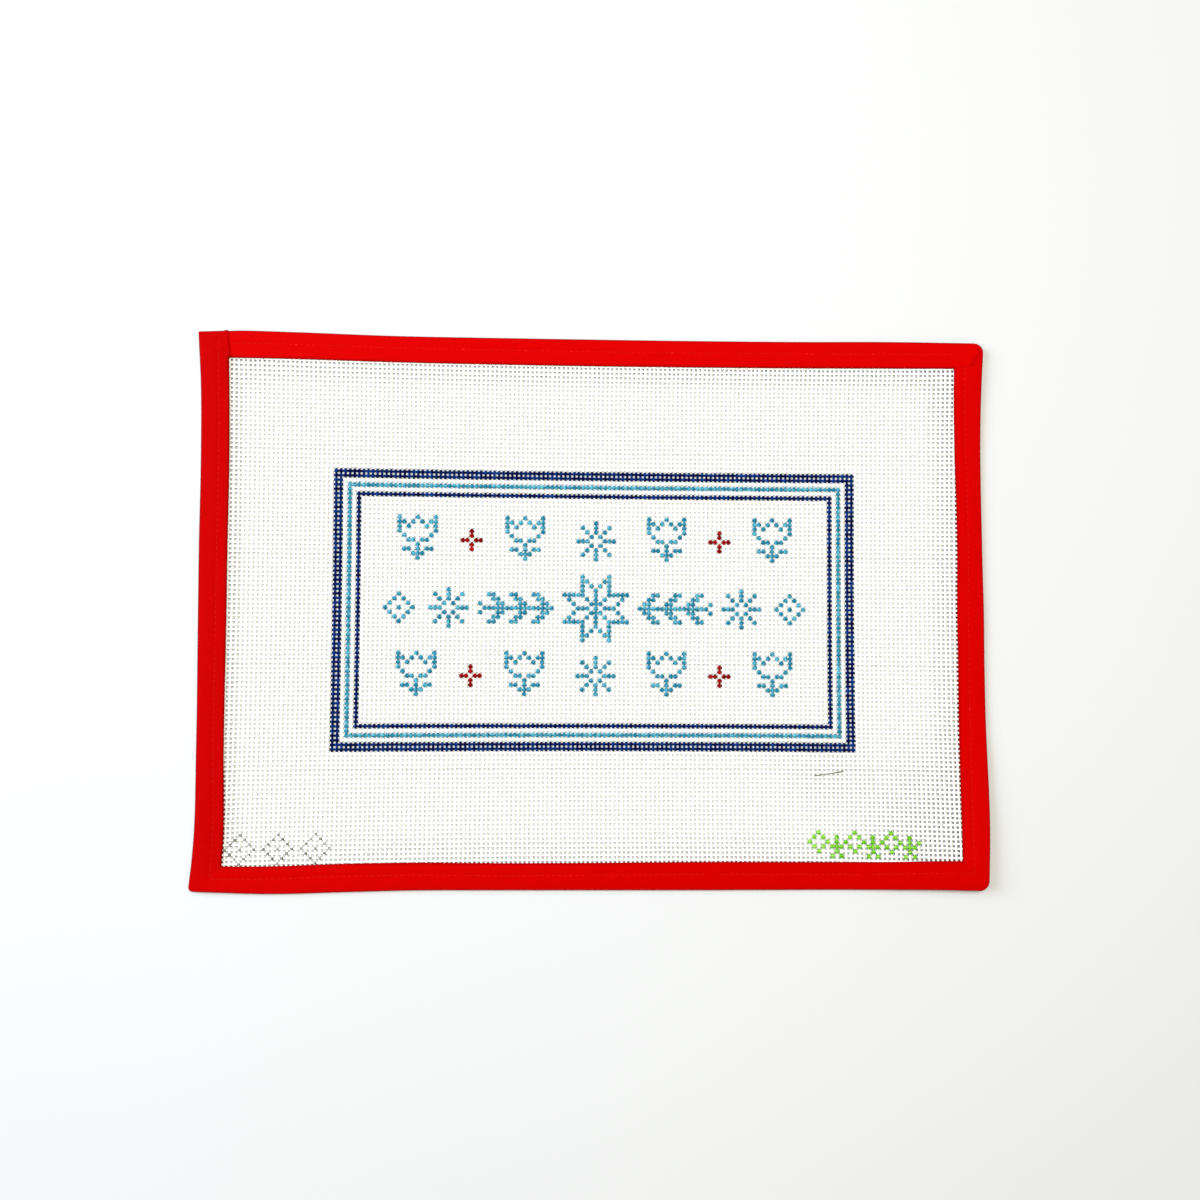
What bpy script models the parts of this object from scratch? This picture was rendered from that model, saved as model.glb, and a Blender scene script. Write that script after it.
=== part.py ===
"""Needlepoint canvas panel: an open-weave canvas whose raw edge is bound with one folded tape.

The panel lies face up on a surface. The origin is the bottom centre of its bounding box, +X runs to
the right, +Y to the top edge and +Z up. Lengths are in metres; the tables are in millimetres.

Run it with: blender --background --python part.py
"""

import math
from collections import namedtuple

import bmesh
import bpy
import numpy as np
from mathutils import Vector

MM = 0.001

# Binding tape: a strip folded round the canvas edge, seen here in section.
TAPE_THICKNESS = 1.0 * MM  # one leaf, which is the tape with its raw edge turned under
CANVAS_THICKNESS = 1.0 * MM
CLEARANCE = 0.3 * MM  # between the canvas and each leaf
FOLD_HEIGHT = 2 * TAPE_THICKNESS + 2 * CLEARANCE + CANVAS_THICKNESS
FOLD_RADIUS = FOLD_HEIGHT / 2
CANVAS_INSET = TAPE_THICKNESS + 0.6 * MM  # from the panel's outline to the hidden canvas edge

# Side rows: place along the side, the outer edge there and the width of the tape.
Row = namedtuple("Row", "along outer width")
TOP = [
    Row(-172, 120.9, 11.2),
    Row(-158, 121.7, 12.1),
    Row(-135, 121.6, 12.0),
    Row(-90, 120.7, 11.8),
    Row(-40, 120.6, 12.0),
    Row(90, 121.2, 12.0),
    Row(135, 121.9, 12.1),
    Row(172, 121.6, 11.6),
]
BOTTOM = [
    Row(-172, -120.5, 10.8),
    Row(-138, -121.7, 11.9),
    Row(-110, -121.1, 12.2),
    Row(-80, -120.5, 12.0),
    Row(-40, -120.6, 11.7),
    Row(50, -121.0, 12.3),
    Row(130, -121.1, 12.3),
    Row(150, -121.1, 12.7),
    Row(172, -121.5, 13.2),
]
LEFT = [
    Row(-120, -173.9, 13.7),
    Row(-108, -172.8, 12.9),
    Row(-98, -172.2, 12.7),
    Row(-60, -171.9, 11.9),
    Row(0, -172.3, 12.3),
    Row(30, -172.5, 12.4),
    Row(60, -172.4, 12.4),
    Row(112, -173.7, 12.8),
    Row(121, -174.3, 13.2),
]
RIGHT = [
    Row(-120, 172.3, 11.6),
    Row(-95, 173.2, 12.7),
    Row(-45, 172.6, 12.3),
    Row(-20, 172.4, 12.1),
    Row(0, 172.4, 12.3),
    Row(25, 172.0, 11.6),
    Row(105, 172.3, 12.9),
    Row(120, 173.1, 13.4),
]

# Corners, in order round the panel. The radius is that of the outline. The layer is the height of the
# cloth folded over there: at a mitre it ends on the corner's diagonal, at the lap it covers the corner.
Corner = namedtuple("Corner", "name radius layer lapped")
CORNERS = [
    Corner("top_left", 0.5, 0.6, True),
    Corner("bottom_left", 2.2, 0.3, False),
    Corner("bottom_right", 4.4, 0.3, False),
    Corner("top_right", 4.4, 0.3, False),
]
# Round the panel from the top left corner, down the left side: the sides before and after each corner.
ROUND = [("top", "left"), ("left", "bottom"), ("bottom", "right"), ("right", "top")]
CORNER_AFTER = {before: corner for corner, (before, _) in zip(CORNERS, ROUND)}
INNER_RADIUS = 0.5 * MM  # of the window's corners
STEP = 0.35 * MM  # run of the step where a folded layer ends
LAP_RUN = 9.0 * MM  # from the lap to where the left strip lies flat again

# Where the panel stands off the surface: centre, reach along X and Y, and height.
Lift = namedtuple("Lift", "x y reach_x reach_y height")
LIFTS = [
    Lift(176, -124, 130, 110, 3.2),
    Lift(-176, 124, 60, 42, 0.6),
    Lift(-176, -124, 45, 30, 0.7),
    Lift(176, 124, 45, 60, 1.2),
    Lift(102.5, -70.7, 30, 24, 0.4),
]

# The canvas lies on the surface and rises to the tape's middle height over this run beside each side.
RISE_RUN = {"left": 8 * MM, "right": 14 * MM, "top": 10 * MM, "bottom": 12 * MM}
RISE_START = 1.0 * MM  # from the tape's inner edge

# Distances of the canvas's grid lines from its edge, mirrored about the middle, and the pitch between.
GRID_STEPS = (0, 4, 10.6, 13, 16, 20, 26, 34, 46, 62, 80)
GRID_PITCH = 26 * MM
STATIONS_LONG = 22  # sections of the tape along the top and bottom
STATIONS_SHORT = 15  # and along the left and right
ARC_STEPS = 5  # of a corner
FOLD_STEPS = 6  # of the tape's fold
LEAF_MIDDLE = 0.55  # where a leaf's section has its middle point, as a share of its width
QUARTER_PULL = 0.5523  # handle of the cubic curve that follows a quarter circle

Station = namedtuple("Station", "outer inner layer")

CANVAS_COLOUR = (0.90, 0.90, 0.87, 1.0)
TAPE_COLOUR = (0.72, 0.006, 0.004, 1.0)


def clear_scene():
    for item in list(bpy.data.objects):
        bpy.data.objects.remove(item)


def fabric_material(name, colour):
    material = bpy.data.materials.new(name)
    material.use_nodes = True
    shader = material.node_tree.nodes["Principled BSDF"]
    shader.inputs["Base Color"].default_value = colour
    shader.inputs["Roughness"].default_value = 0.85
    shader.inputs["Metallic"].default_value = 0.0
    material.diffuse_color = colour
    return material


def smooth_step(t):
    t = min(max(t, 0.0), 1.0)
    return t * t * (3 - 2 * t)


def read_row(rows, along, column):
    """The column's value at a place along the side, on a smooth curve through the rows, in metres."""
    places = [row.along * MM for row in rows]
    values = [getattr(row, column) * MM for row in rows]
    slopes = np.gradient(values, places)
    last = len(rows) - 2
    k = min(max(int(np.searchsorted(places, along)) - 1, 0), last)
    run = places[k + 1] - places[k]
    t = min(max((along - places[k]) / run, 0.0), 1.0)
    return (
        (2 * t**3 - 3 * t**2 + 1) * values[k]
        + (t**3 - 2 * t**2 + t) * run * slopes[k]
        + (3 * t**2 - 2 * t**3) * values[k + 1]
        + (t**3 - t**2) * run * slopes[k + 1]
    )


class Side:
    """One side of the panel: its lines run along one axis at a distance that varies a little."""

    def __init__(self, rows, upright, sign):
        self.rows = rows
        self.upright = upright
        self.sign = sign

    def across(self, along, share):
        """Place of a line that lies at this share of the tape's width in from the outline."""
        outer = read_row(self.rows, along, "outer")
        return outer - self.sign * share * read_row(self.rows, along, "width")

    def offset(self, along, distance):
        return read_row(self.rows, along, "outer") - self.sign * distance

    def place(self, along, across):
        return Vector((across, along)) if self.upright else Vector((along, across))


SIDES = {
    "left": Side(LEFT, True, -1),
    "right": Side(RIGHT, True, 1),
    "top": Side(TOP, False, 1),
    "bottom": Side(BOTTOM, False, -1),
}


def crossing(flat_side, upright_side, line):
    """Where the same line of two sides meets; line(side, along) gives its place across."""
    x, y = line(upright_side, 0.0), line(flat_side, 0.0)
    for _ in range(8):
        x = line(upright_side, y)
        y = line(flat_side, x)
    return Vector((x, y))


def outer_line(side, along):
    return side.across(along, 0.0)


def inner_line(side, along):
    return side.across(along, 1.0)


def rounded_corner(start, corner, end, steps):
    """Points of a quarter turn from start to end round the corner."""
    first = start.lerp(corner, QUARTER_PULL)
    second = end.lerp(corner, QUARTER_PULL)
    points = []
    for k in range(steps + 1):
        t = k / steps
        points.append(
            (1 - t) ** 3 * start
            + 3 * (1 - t) ** 2 * t * first
            + 3 * (1 - t) * t**2 * second
            + t**3 * end
        )
    return points


def lift_at(x, y):
    """Height of the panel above the surface."""
    height = 0.0
    for spot in LIFTS:
        away = math.hypot(
            (x - spot.x * MM) / (spot.reach_x * MM), (y - spot.y * MM) / (spot.reach_y * MM)
        )
        height += spot.height * MM * smooth_step(1 - away)
    return height


def side_point(name, line, along):
    side = SIDES[name]
    return side.place(along, line(side, along))


def along_of(name, point):
    return point.y if SIDES[name].upright else point.x


def towards_middle(name, corner):
    """The direction along this side, away from the corner."""
    return -1 if along_of(name, corner) > 0 else 1


def corner_stations(corner, before, after):
    """Sections over the square of tape at a corner, from the side before it to the side after it."""
    flat, upright = (before, after) if SIDES[after].upright else (after, before)
    tip = crossing(SIDES[flat], SIDES[upright], outer_line)
    window = crossing(SIDES[flat], SIDES[upright], inner_line)
    rounded = {}
    inner = {}
    edge = {}
    for name in (before, after):
        step = towards_middle(name, tip)
        tip_along = along_of(name, tip)
        rounded[name] = side_point(name, outer_line, tip_along + step * corner.radius * MM)
        window_along = along_of(name, window)
        inner[name] = side_point(name, inner_line, window_along + step * INNER_RADIUS)
        edge[name] = side_point(name, outer_line, window_along)
    arc = rounded_corner(rounded[before], tip, rounded[after], ARC_STEPS)
    outer = [edge[before], edge[before].lerp(arc[0], 0.5)] + arc
    outer += [edge[after].lerp(arc[-1], 0.5), edge[after]]
    fillet = rounded_corner(inner[before], window, inner[after], len(outer) - 1)
    middle = len(outer) // 2
    stations = []
    for k, (far, near) in enumerate(zip(outer, fillet)):
        covered = corner.lapped or k < middle
        stations.append(Station(far, near, corner.layer * MM if covered else 0.0))
    return stations


def side_stations(name, start, end, lap_at_start):
    """Sections along one side between two corners' last and first sections."""
    side = SIDES[name]
    count = STATIONS_SHORT if side.upright else STATIONS_LONG
    a_outer, b_outer = along_of(name, start.outer), along_of(name, end.outer)
    a_inner, b_inner = along_of(name, start.inner), along_of(name, end.inner)
    length = abs(b_outer - a_outer)
    first = STEP / length
    stations = []
    for k in range(count):
        t = first + (1 - 2 * first) * k / (count - 1)
        outer = side_point(name, outer_line, a_outer + (b_outer - a_outer) * t)
        inner = side_point(name, inner_line, a_inner + (b_inner - a_inner) * t)
        fade = 1 - min(t * length / LAP_RUN, 1.0) if lap_at_start else 0.0
        layer = fade * start.layer
        if k == count - 1 and not CORNER_AFTER[name].lapped:
            layer = end.layer
        stations.append(Station(outer, inner, layer))
    return stations


def ring_stations():
    """All sections of the tape, once round the panel."""
    blocks = [corner_stations(corner, *pair) for corner, pair in zip(CORNERS, ROUND)]
    stations = []
    for k, block in enumerate(blocks):
        following = blocks[(k + 1) % len(blocks)]
        after = ROUND[k][1]
        stations += block
        stations += side_stations(after, block[-1], following[0], CORNERS[k].lapped)
    return stations


def tape_section(width, layer):
    """Closed outline of the folded tape: (distance in from the outline, height) pairs."""
    high = FOLD_HEIGHT
    slack = FOLD_RADIUS - TAPE_THICKNESS
    middle = LEAF_MIDDLE * width
    points = [(width, 0.0), (middle, 0.0)]
    for k in range(FOLD_STEPS + 1):
        turn = math.pi * (k / FOLD_STEPS - 0.5)
        raised = layer * smooth_step(k / FOLD_STEPS)
        points.append(
            (
                FOLD_RADIUS - FOLD_RADIUS * math.cos(turn),
                FOLD_RADIUS + FOLD_RADIUS * math.sin(turn) + raised,
            )
        )
    points += [(middle, high + layer), (width, high + layer), (width, high - TAPE_THICKNESS)]
    for k in range(FOLD_STEPS // 2 + 1):
        turn = math.pi * (0.5 - k / (FOLD_STEPS // 2))
        points.append((FOLD_RADIUS - slack * math.cos(turn), FOLD_RADIUS + slack * math.sin(turn)))
    points.append((width, TAPE_THICKNESS))
    return points


def panel_centre(stations):
    """Middle of the outline's box, which becomes the origin."""
    xs = [station.outer.x for station in stations]
    ys = [station.outer.y for station in stations]
    return Vector(((min(xs) + max(xs)) / 2, (min(ys) + max(ys)) / 2))


def make_object(name, mesh, material, collection):
    item = bpy.data.objects.new(name, mesh)
    item.data.materials.append(material)
    collection.objects.link(item)
    return item


def make_tape(stations, centre, collection):
    """The tape, lofted round the panel through its sections."""
    build = bmesh.new()
    rings = []
    for station in stations:
        inward = (station.inner - station.outer).normalized()
        width = (station.inner - station.outer).length
        ring = []
        for distance, height in tape_section(width, station.layer):
            place = station.outer + inward * distance
            z = height + lift_at(place.x, place.y)
            ring.append(build.verts.new((place.x - centre.x, place.y - centre.y, z)))
        rings.append(ring)
    for k, ring in enumerate(rings):
        following = rings[(k + 1) % len(rings)]
        for j in range(len(ring)):
            n = (j + 1) % len(ring)
            build.faces.new((ring[j], ring[n], following[n], following[j]))
    bmesh.ops.recalc_face_normals(build, faces=build.faces)
    mesh = bpy.data.meshes.new("binding_tape")
    build.to_mesh(mesh)
    build.free()
    mesh.shade_smooth()
    mesh.set_sharp_from_angle(angle=math.radians(40))
    return make_object("binding_tape", mesh, fabric_material("red_tape", TAPE_COLOUR), collection)


def canvas_line(side, along):
    return side.offset(along, CANVAS_INSET)


def canvas_edge(name, start, end, t):
    """Point at share t along one edge of the canvas."""
    along = along_of(name, start) * (1 - t) + along_of(name, end) * t
    return side_point(name, canvas_line, along)


def canvas_height(x, y):
    """Height of the underside of the canvas."""
    level = 1.0
    for name, side in SIDES.items():
        along, across = (y, x) if side.upright else (x, y)
        inside = side.sign * (side.across(along, 1.0) - across) - RISE_START
        level *= 1 - smooth_step(1 - inside / RISE_RUN[name])
    return (TAPE_THICKNESS + CLEARANCE) * (1 - level) + lift_at(x, y)


def grid_shares(length):
    """Grid lines across a length, as shares of it, closer together near both edges."""
    near = [step * MM / length for step in GRID_STEPS if step * MM < (length - GRID_PITCH) / 2]
    rest = length * (0.5 - near[-1])
    extra = max(1, round(rest / GRID_PITCH))
    near += [near[-1] + (0.5 - near[-1]) * k / extra for k in range(1, extra + 1)]
    return near + [1 - share for share in reversed(near[:-1])]


def make_canvas(centre, collection):
    """The canvas, a thin sheet that lies on the surface and rises into the tape's fold."""
    corners = {
        (across, up): crossing(SIDES[up], SIDES[across], canvas_line)
        for across in ("left", "right")
        for up in ("bottom", "top")
    }
    low_left, low_right = corners["left", "bottom"], corners["right", "bottom"]
    top_left, top_right = corners["left", "top"], corners["right", "top"]
    columns = grid_shares(low_right.x - low_left.x)
    rows = grid_shares(top_left.y - low_left.y)
    trims = {
        (0.0, 1.0): CORNERS[0].radius,
        (0.0, 0.0): CORNERS[1].radius,
        (1.0, 0.0): CORNERS[2].radius,
        (1.0, 1.0): CORNERS[3].radius,
    }

    build = bmesh.new()
    bmesh.ops.create_grid(build, x_segments=len(columns) - 1, y_segments=len(rows) - 1, size=0.5)
    for vertex in build.verts:
        u = columns[round((vertex.co.x + 0.5) * (len(columns) - 1))]
        v = rows[round((vertex.co.y + 0.5) * (len(rows) - 1))]
        low = canvas_edge("bottom", low_left, low_right, u)
        high = canvas_edge("top", top_left, top_right, u)
        left = canvas_edge("left", low_left, top_left, v)
        right = canvas_edge("right", low_right, top_right, v)
        corner_blend = (low_left * (1 - u) + low_right * u) * (1 - v)
        corner_blend += (top_left * (1 - u) + top_right * u) * v
        place = low * (1 - v) + high * v + left * (1 - u) + right * u - corner_blend
        if (u, v) in trims:
            inward = Vector((1 - 2 * u, 1 - 2 * v))
            place += inward * trims[u, v] * MM * (1 - math.sqrt(0.5))
        z = canvas_height(place.x, place.y)
        vertex.co = (place.x - centre.x, place.y - centre.y, z)
    mesh = bpy.data.meshes.new("canvas")
    build.to_mesh(mesh)
    build.free()
    mesh.shade_smooth()
    item = make_object("canvas", mesh, fabric_material("white_canvas", CANVAS_COLOUR), collection)
    body = item.modifiers.new("thickness", "SOLIDIFY")
    body.thickness = CANVAS_THICKNESS
    body.offset = 1.0
    return item


def main():
    clear_scene()
    collection = bpy.data.collections.new("needlepoint_canvas_panel")
    bpy.context.scene.collection.children.link(collection)
    stations = ring_stations()
    centre = panel_centre(stations)
    make_tape(stations, centre, collection)
    make_canvas(centre, collection)


main()
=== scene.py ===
"""Looks of the needlepoint canvas panel: real interlaced threads, painted design, bound edge.

Lengths are in metres, and in the tables in millimetres. Everything is drawn with +X to the panel's right
edge, +Y to its top edge and +Z up, and then moved so that the middle of its outline's box is over the
origin, on the surface.
"""

import math
from collections import namedtuple

import bpy
import numpy as np
from mathutils import Euler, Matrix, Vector


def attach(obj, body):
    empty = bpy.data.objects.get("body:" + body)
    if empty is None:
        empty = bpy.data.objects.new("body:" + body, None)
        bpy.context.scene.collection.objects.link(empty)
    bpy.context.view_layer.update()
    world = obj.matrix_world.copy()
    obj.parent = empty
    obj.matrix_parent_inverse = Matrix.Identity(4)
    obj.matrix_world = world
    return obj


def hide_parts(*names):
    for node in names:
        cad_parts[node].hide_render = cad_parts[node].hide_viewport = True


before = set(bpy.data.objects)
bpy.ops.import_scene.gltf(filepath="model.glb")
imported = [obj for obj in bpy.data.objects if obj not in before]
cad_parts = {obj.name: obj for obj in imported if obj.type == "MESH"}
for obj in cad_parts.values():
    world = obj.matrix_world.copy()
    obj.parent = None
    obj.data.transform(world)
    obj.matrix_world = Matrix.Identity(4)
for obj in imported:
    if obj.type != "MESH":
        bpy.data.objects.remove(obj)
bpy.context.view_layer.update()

MM = 0.001
SEED = 13

# -------- sizes

# Canvas: 13 threads to the inch across, a little coarser up. The chart's crossing (0, 0) is the top left
# one of the painted border, and its middle lies beside the panel's middle.
PITCH_X = 25.4 / 13 * MM
PITCH_Y = 1.0137 * PITCH_X
CHART_COLUMNS = 117
CHART_ROWS = 62
CHART_MIDDLE = (-0.56 * MM, 0.40 * MM)
THREAD_WIDTH = 1.12 * MM
THREAD_HEIGHT = 0.30 * MM
WEAVE_RISE = 0.10 * MM  # of a thread's middle over or under the cloth's, at a crossing
CANVAS_HEIGHT = 2 * WEAVE_RISE + THREAD_HEIGHT
THREAD_SIDES = 5
BANDS = 5  # the cloth is made as this many bands of whole weft threads

# In crossings: threads that may fit on the cloth, places along them that have to lie on it too, and
# how far the threads can be seen.
THREADS_TRIED = np.arange(-60, 181)
PLACES_TRIED = np.arange(-26, 143, 4)
SHOWN_COLUMNS = (-25.5, 142.5)
SHOWN_ROWS = (-26, 87)

# The threads spread toward the corners: distances from a middle are stretched by a share that grows with
# their square and is nothing at one distance.
SPREAD = 0.52  # per square metre
SPREAD_MIDDLE = (-3.8 * MM, 5.2 * MM)
SPREAD_EVEN = 95 * MM

# Smooth random lines: how many sines, the longest and the shortest, and the height of all together.
Wave = namedtuple("Wave", "sines longest shortest height")
SWELL = Wave(3, 31 * MM, 7 * MM, 0.045)  # of a thread's width, as a share of it
DRIFT = Wave(3, 90 * MM, 12 * MM, 0.04 * MM)  # of a thread's middle, to its sides
RIPPLES = (Wave(4, 37 * MM, 6 * MM, 0.10 * MM), Wave(4, 29 * MM, 5 * MM, 0.10 * MM))  # of the tape

# Binding tape, in section: two leaves, the canvas between them and the fold at the outline.
LEAF = 0.75 * MM
SLACK = 0.05 * MM
FOLD_HEIGHT = 2 * LEAF + 2 * SLACK + CANVAS_HEIGHT
FOLD_RADIUS = FOLD_HEIGHT / 2
CANVAS_INSET = 1.6 * MM
DOME = 0.16 * MM  # of the upper leaf between the fold and its inner edge
UNDER_POINTS = 7  # of the section, along the underside
FOLD_POINTS = 7
LEAF_POINTS = 16  # and along the upper face

# Side rows: place along the side, the outer edge there and the width of the tape.
Row = namedtuple("Row", "along outer width")
TOP = [
    Row(-172, 120.9, 11.2),
    Row(-158, 121.7, 12.1),
    Row(-135, 121.6, 12.0),
    Row(-90, 120.7, 11.8),
    Row(-40, 120.6, 12.0),
    Row(90, 121.2, 12.0),
    Row(135, 121.9, 12.1),
    Row(172, 121.6, 11.6),
]
BOTTOM = [
    Row(-172, -120.5, 10.8),
    Row(-138, -121.7, 11.9),
    Row(-110, -121.1, 12.2),
    Row(-80, -120.5, 12.0),
    Row(-40, -120.6, 11.7),
    Row(50, -121.0, 12.3),
    Row(130, -121.1, 12.3),
    Row(150, -121.1, 12.7),
    Row(172, -121.5, 13.2),
]
LEFT = [
    Row(-120, -173.9, 13.7),
    Row(-108, -172.8, 12.9),
    Row(-98, -172.2, 12.7),
    Row(-60, -171.9, 11.9),
    Row(0, -172.3, 12.3),
    Row(30, -172.5, 12.4),
    Row(60, -172.4, 12.4),
    Row(112, -173.7, 12.8),
    Row(121, -174.3, 13.2),
]
RIGHT = [
    Row(-120, 172.3, 11.6),
    Row(-95, 173.2, 12.7),
    Row(-45, 172.6, 12.3),
    Row(-20, 172.4, 12.1),
    Row(0, 172.4, 12.3),
    Row(25, 172.0, 11.6),
    Row(105, 172.3, 12.9),
    Row(120, 173.1, 13.4),
]

# Corners, in order round the panel: the sides before and after, the outline's radius and the height of a
# lap that covers the corner.
Corner = namedtuple("Corner", "before after radius lap")
CORNERS = [
    Corner("top", "left", 0.5, 0.55),
    Corner("left", "bottom", 2.2, 0.0),
    Corner("bottom", "right", 4.4, 0.0),
    Corner("right", "top", 4.4, 0.0),
]
INNER_RADIUS = 0.4 * MM
ARC_POINTS = 11  # round a corner
EDGE_POINTS = 14  # from a corner's arc to the end of its square of tape
QUARTER_PULL = 0.5523  # handle of the cubic curve that follows a quarter circle
LAP_STEP = 0.3 * MM  # run of the lap's edge
LAP_RUN = 9.0 * MM  # over which its height runs out beyond the corner
LAP_SLANT = 1.1 * MM  # how much nearer the corner the lap's edge is at the outline
LAP_BUMP = 0.4 * MM  # how far its turned-under end pushes the outline out

# Folds in the tape at its corners: a line, the height of the cloth that ends there and how far it runs.
# The cloth is raised on the left of the line, seen from its first point to its second.
Crease = namedtuple("Crease", "x1 y1 x2 y2 height run")
CREASES = [
    Crease(160.9, 110.4, 167.4, 111.4, 0.20, 5.0),
    Crease(167.4, 111.4, 172.6, 120.4, 0.45, 7.0),
    Crease(172.9, -121.0, 162.0, -115.2, 0.26, 6.0),
]
CREASE_STEP = 0.45 * MM  # run of the step on the line
CREASE_FADE = 1.5 * MM  # how far it goes on beyond the line's ends

# Machine stitches: the line's distance from the tape's inner edge on each side, one stitch, and how the
# line draws the tape in.
STITCH_LINE = {"left": 4.5 * MM, "top": 6.3 * MM, "right": 4.9 * MM, "bottom": 5.3 * MM}
STITCH_LAP_END = 2 * MM  # from the outline to the line's end on the lap
STITCH_PITCH = 2.5 * MM
STITCH_SPAN = (0.1, 0.9)  # of the pitch
STITCH_WOBBLE = (0.04 * MM, 0.05 * MM)  # along and across the line
STITCH_THREAD = 0.26 * MM
STITCH_FLATNESS = 0.8
STITCH_SINK = 0.05 * MM  # of its ends below the face of the tape
STITCH_BOW = 0.12 * MM
STITCH_BACK = 0.14 * MM  # height of its ends on the back
STITCH_BACK_BOW = -0.02 * MM
STITCH_RINGS = 5
STITCH_SIDES = 6
GROOVE_WIDTH = 0.75 * MM
GROOVE_DEPTH = 0.12 * MM
GROOVE_BACK_DEPTH = 0.16 * MM
PUCKER = 0.035 * MM

# Where the panel stands off the surface: centre, reach along X and Y, and height.
Lift = namedtuple("Lift", "x y reach_x reach_y height")
LIFTS = [
    Lift(176, -124, 80, 90, 3.2),
    Lift(-176, 124, 60, 42, 0.6),
    Lift(-176, -124, 45, 30, 0.7),
    Lift(176, 124, 45, 60, 1.2),
    Lift(102.5, -70.7, 30, 24, 0.4),
]

# The canvas lies on the surface and rises to the tape's middle height over this run beside each side.
RISE_RUN = {"left": 5 * MM, "right": 14 * MM, "top": 10 * MM, "bottom": 12 * MM}
RISE_START = 1.0 * MM

# Staple in the lower right margin: its crown's ends, its wire, its bends and how far its legs fold in.
STAPLE_ENDS = ((96.0 * MM, -71.5 * MM), (108.5 * MM, -69.7 * MM))
STAPLE_WIRE = 0.52 * MM
STAPLE_BEND = 0.45 * MM
STAPLE_CLINCH = 4.6 * MM

# Bare margins on the bake's map: at the ends and along the sides of a thread's strip and of the tape's.
THREAD_MAP_ENDS = 0.015
THREAD_MAP_SIDES = 0.06
TAPE_MAP_ENDS = 0.004
TAPE_MAP_SIDES = 0.03
MAP_EDGE = 0.003
MAP_SPOT = 0.002  # radius of a thread's cut end
WARP_STRIPS = 7  # side by side in a row of the map

# -------- colours and light

# Linear colours.
WHITE_THREAD = (0.975, 0.97, 0.87)
CREAM_THREAD = (0.95, 0.94, 0.80)
PAINTS = {
    "navy": (0.00001, 0.0015, 0.034),
    "light": (0.0115, 0.147, 0.228),
    "red": (0.135, 0.00005, 0.00004),
    "lime": (0.105, 0.38, 0.0125),
    "grey": (0.13, 0.12, 0.105),
}
TAPE_RED = (0.445, 0.0004, 0.0003)
STITCH_DARK = (0.41, 0.0006, 0.0005)
STITCH_LIGHT = (0.52, 0.002, 0.0016)
# Painted highlight: glints on a few stitches.
STITCH_GLINT = (0.68, 0.014, 0.016)
STEEL_DARK = (0.20, 0.22, 0.19)
STEEL_LIGHT = (0.29, 0.31, 0.27)
FLOOR_DARK = (0.530, 0.533, 0.525)
FLOOR_LIGHT = (0.545, 0.548, 0.540)

WASH = 0.55  # gamma of the paint's colour where it is brushed thin
THREAD_GLOW = 1.0  # share of a bare thread's light that scatters inside it
UNDERSIDE_PAINT = 0.35  # share of the paint's cover that gets round to a thread's underside

# Painted shade on the tape: each side's share of its red, and darkening along the fold and inner edge.
TAPE_SIDE_SHADE = {"top": 0.94, "left": 0.79, "bottom": 0.89, "right": 0.92}
FOLD_SHADE = {"top": 0.66, "left": 0.70, "bottom": 0.20, "right": 0.32}
FOLD_SHADE_WIDTH = 0.8 * MM
EDGE_SHADE = 0.42
EDGE_SHADE_WIDTH = 1.1 * MM

# A cool window to the left, a nearly neutral softbox overhead, and warm light from all round.
Lamp = namedtuple("Lamp", "name place size power colour")
LAMPS = (
    Lamp("window", (-1.52, 0.41, 0.98), 1.3, 39.0, (0.88, 1.0, 1.29)),
    Lamp("softbox", (0.09, 0.22, 1.15), 0.6, 13.8, (1.0, 1.0, 0.96)),
)
ROOM_LIGHT = 0.40
ROOM_COLOUR = (1.12, 1.0, 0.74)

CAMERA_PLACE = (-24.96 * MM, -20.82 * MM, 526.0 * MM)  # over the drawing's origin
CAMERA_TILT = (2.8145, -2.8651, 0.2519)  # degrees
CAMERA_LENS = 36.0  # as long as the sensor is wide
SURFACE_LENGTH = 4.0
SURFACE_GAP = 0.05 * MM  # below the panel

rng = np.random.default_rng(SEED)


# -------- outline


def curve_through(rows, column, along):
    """The column's values at places along the side, on a smooth curve through the rows, in metres."""
    places = np.array([row.along for row in rows]) * MM
    values = np.array([getattr(row, column) for row in rows]) * MM
    slopes = np.gradient(values, places)
    along = np.clip(along, places[0], places[-1])
    k = np.clip(np.searchsorted(places, along) - 1, 0, len(rows) - 2)
    run = places[k + 1] - places[k]
    t = (along - places[k]) / run
    return (
        (2 * t**3 - 3 * t**2 + 1) * values[k]
        + (t**3 - 2 * t**2 + t) * run * slopes[k]
        + (3 * t**2 - 2 * t**3) * values[k + 1]
        + (t**3 - t**2) * run * slopes[k + 1]
    )


class Side(namedtuple("Side", "name rows upright sign")):
    """One side of the panel. Its lines run along one axis, at a place across that varies a little."""

    def outer(self, along):
        return curve_through(self.rows, "outer", along)

    def width(self, along):
        return curve_through(self.rows, "width", along)

    def inner(self, along):
        return self.outer(along) - self.sign * self.width(along)

    def cloth(self, along):
        """Where the canvas ends, hidden in the fold."""
        return self.outer(along) - self.sign * CANVAS_INSET

    def stitch(self, along):
        return self.inner(along) + self.sign * STITCH_LINE[self.name]

    def points(self, along, across):
        pair = (across, along) if self.upright else (along, across)
        return np.stack(np.broadcast_arrays(*pair), axis=-1)

    def along_of(self, point):
        return point[..., 1] if self.upright else point[..., 0]

    def across_of(self, point):
        return point[..., 0] if self.upright else point[..., 1]


SIDES = {
    side.name: side
    for side in (
        Side("left", LEFT, True, -1),
        Side("right", RIGHT, True, 1),
        Side("top", TOP, False, 1),
        Side("bottom", BOTTOM, False, -1),
    )
}


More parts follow.
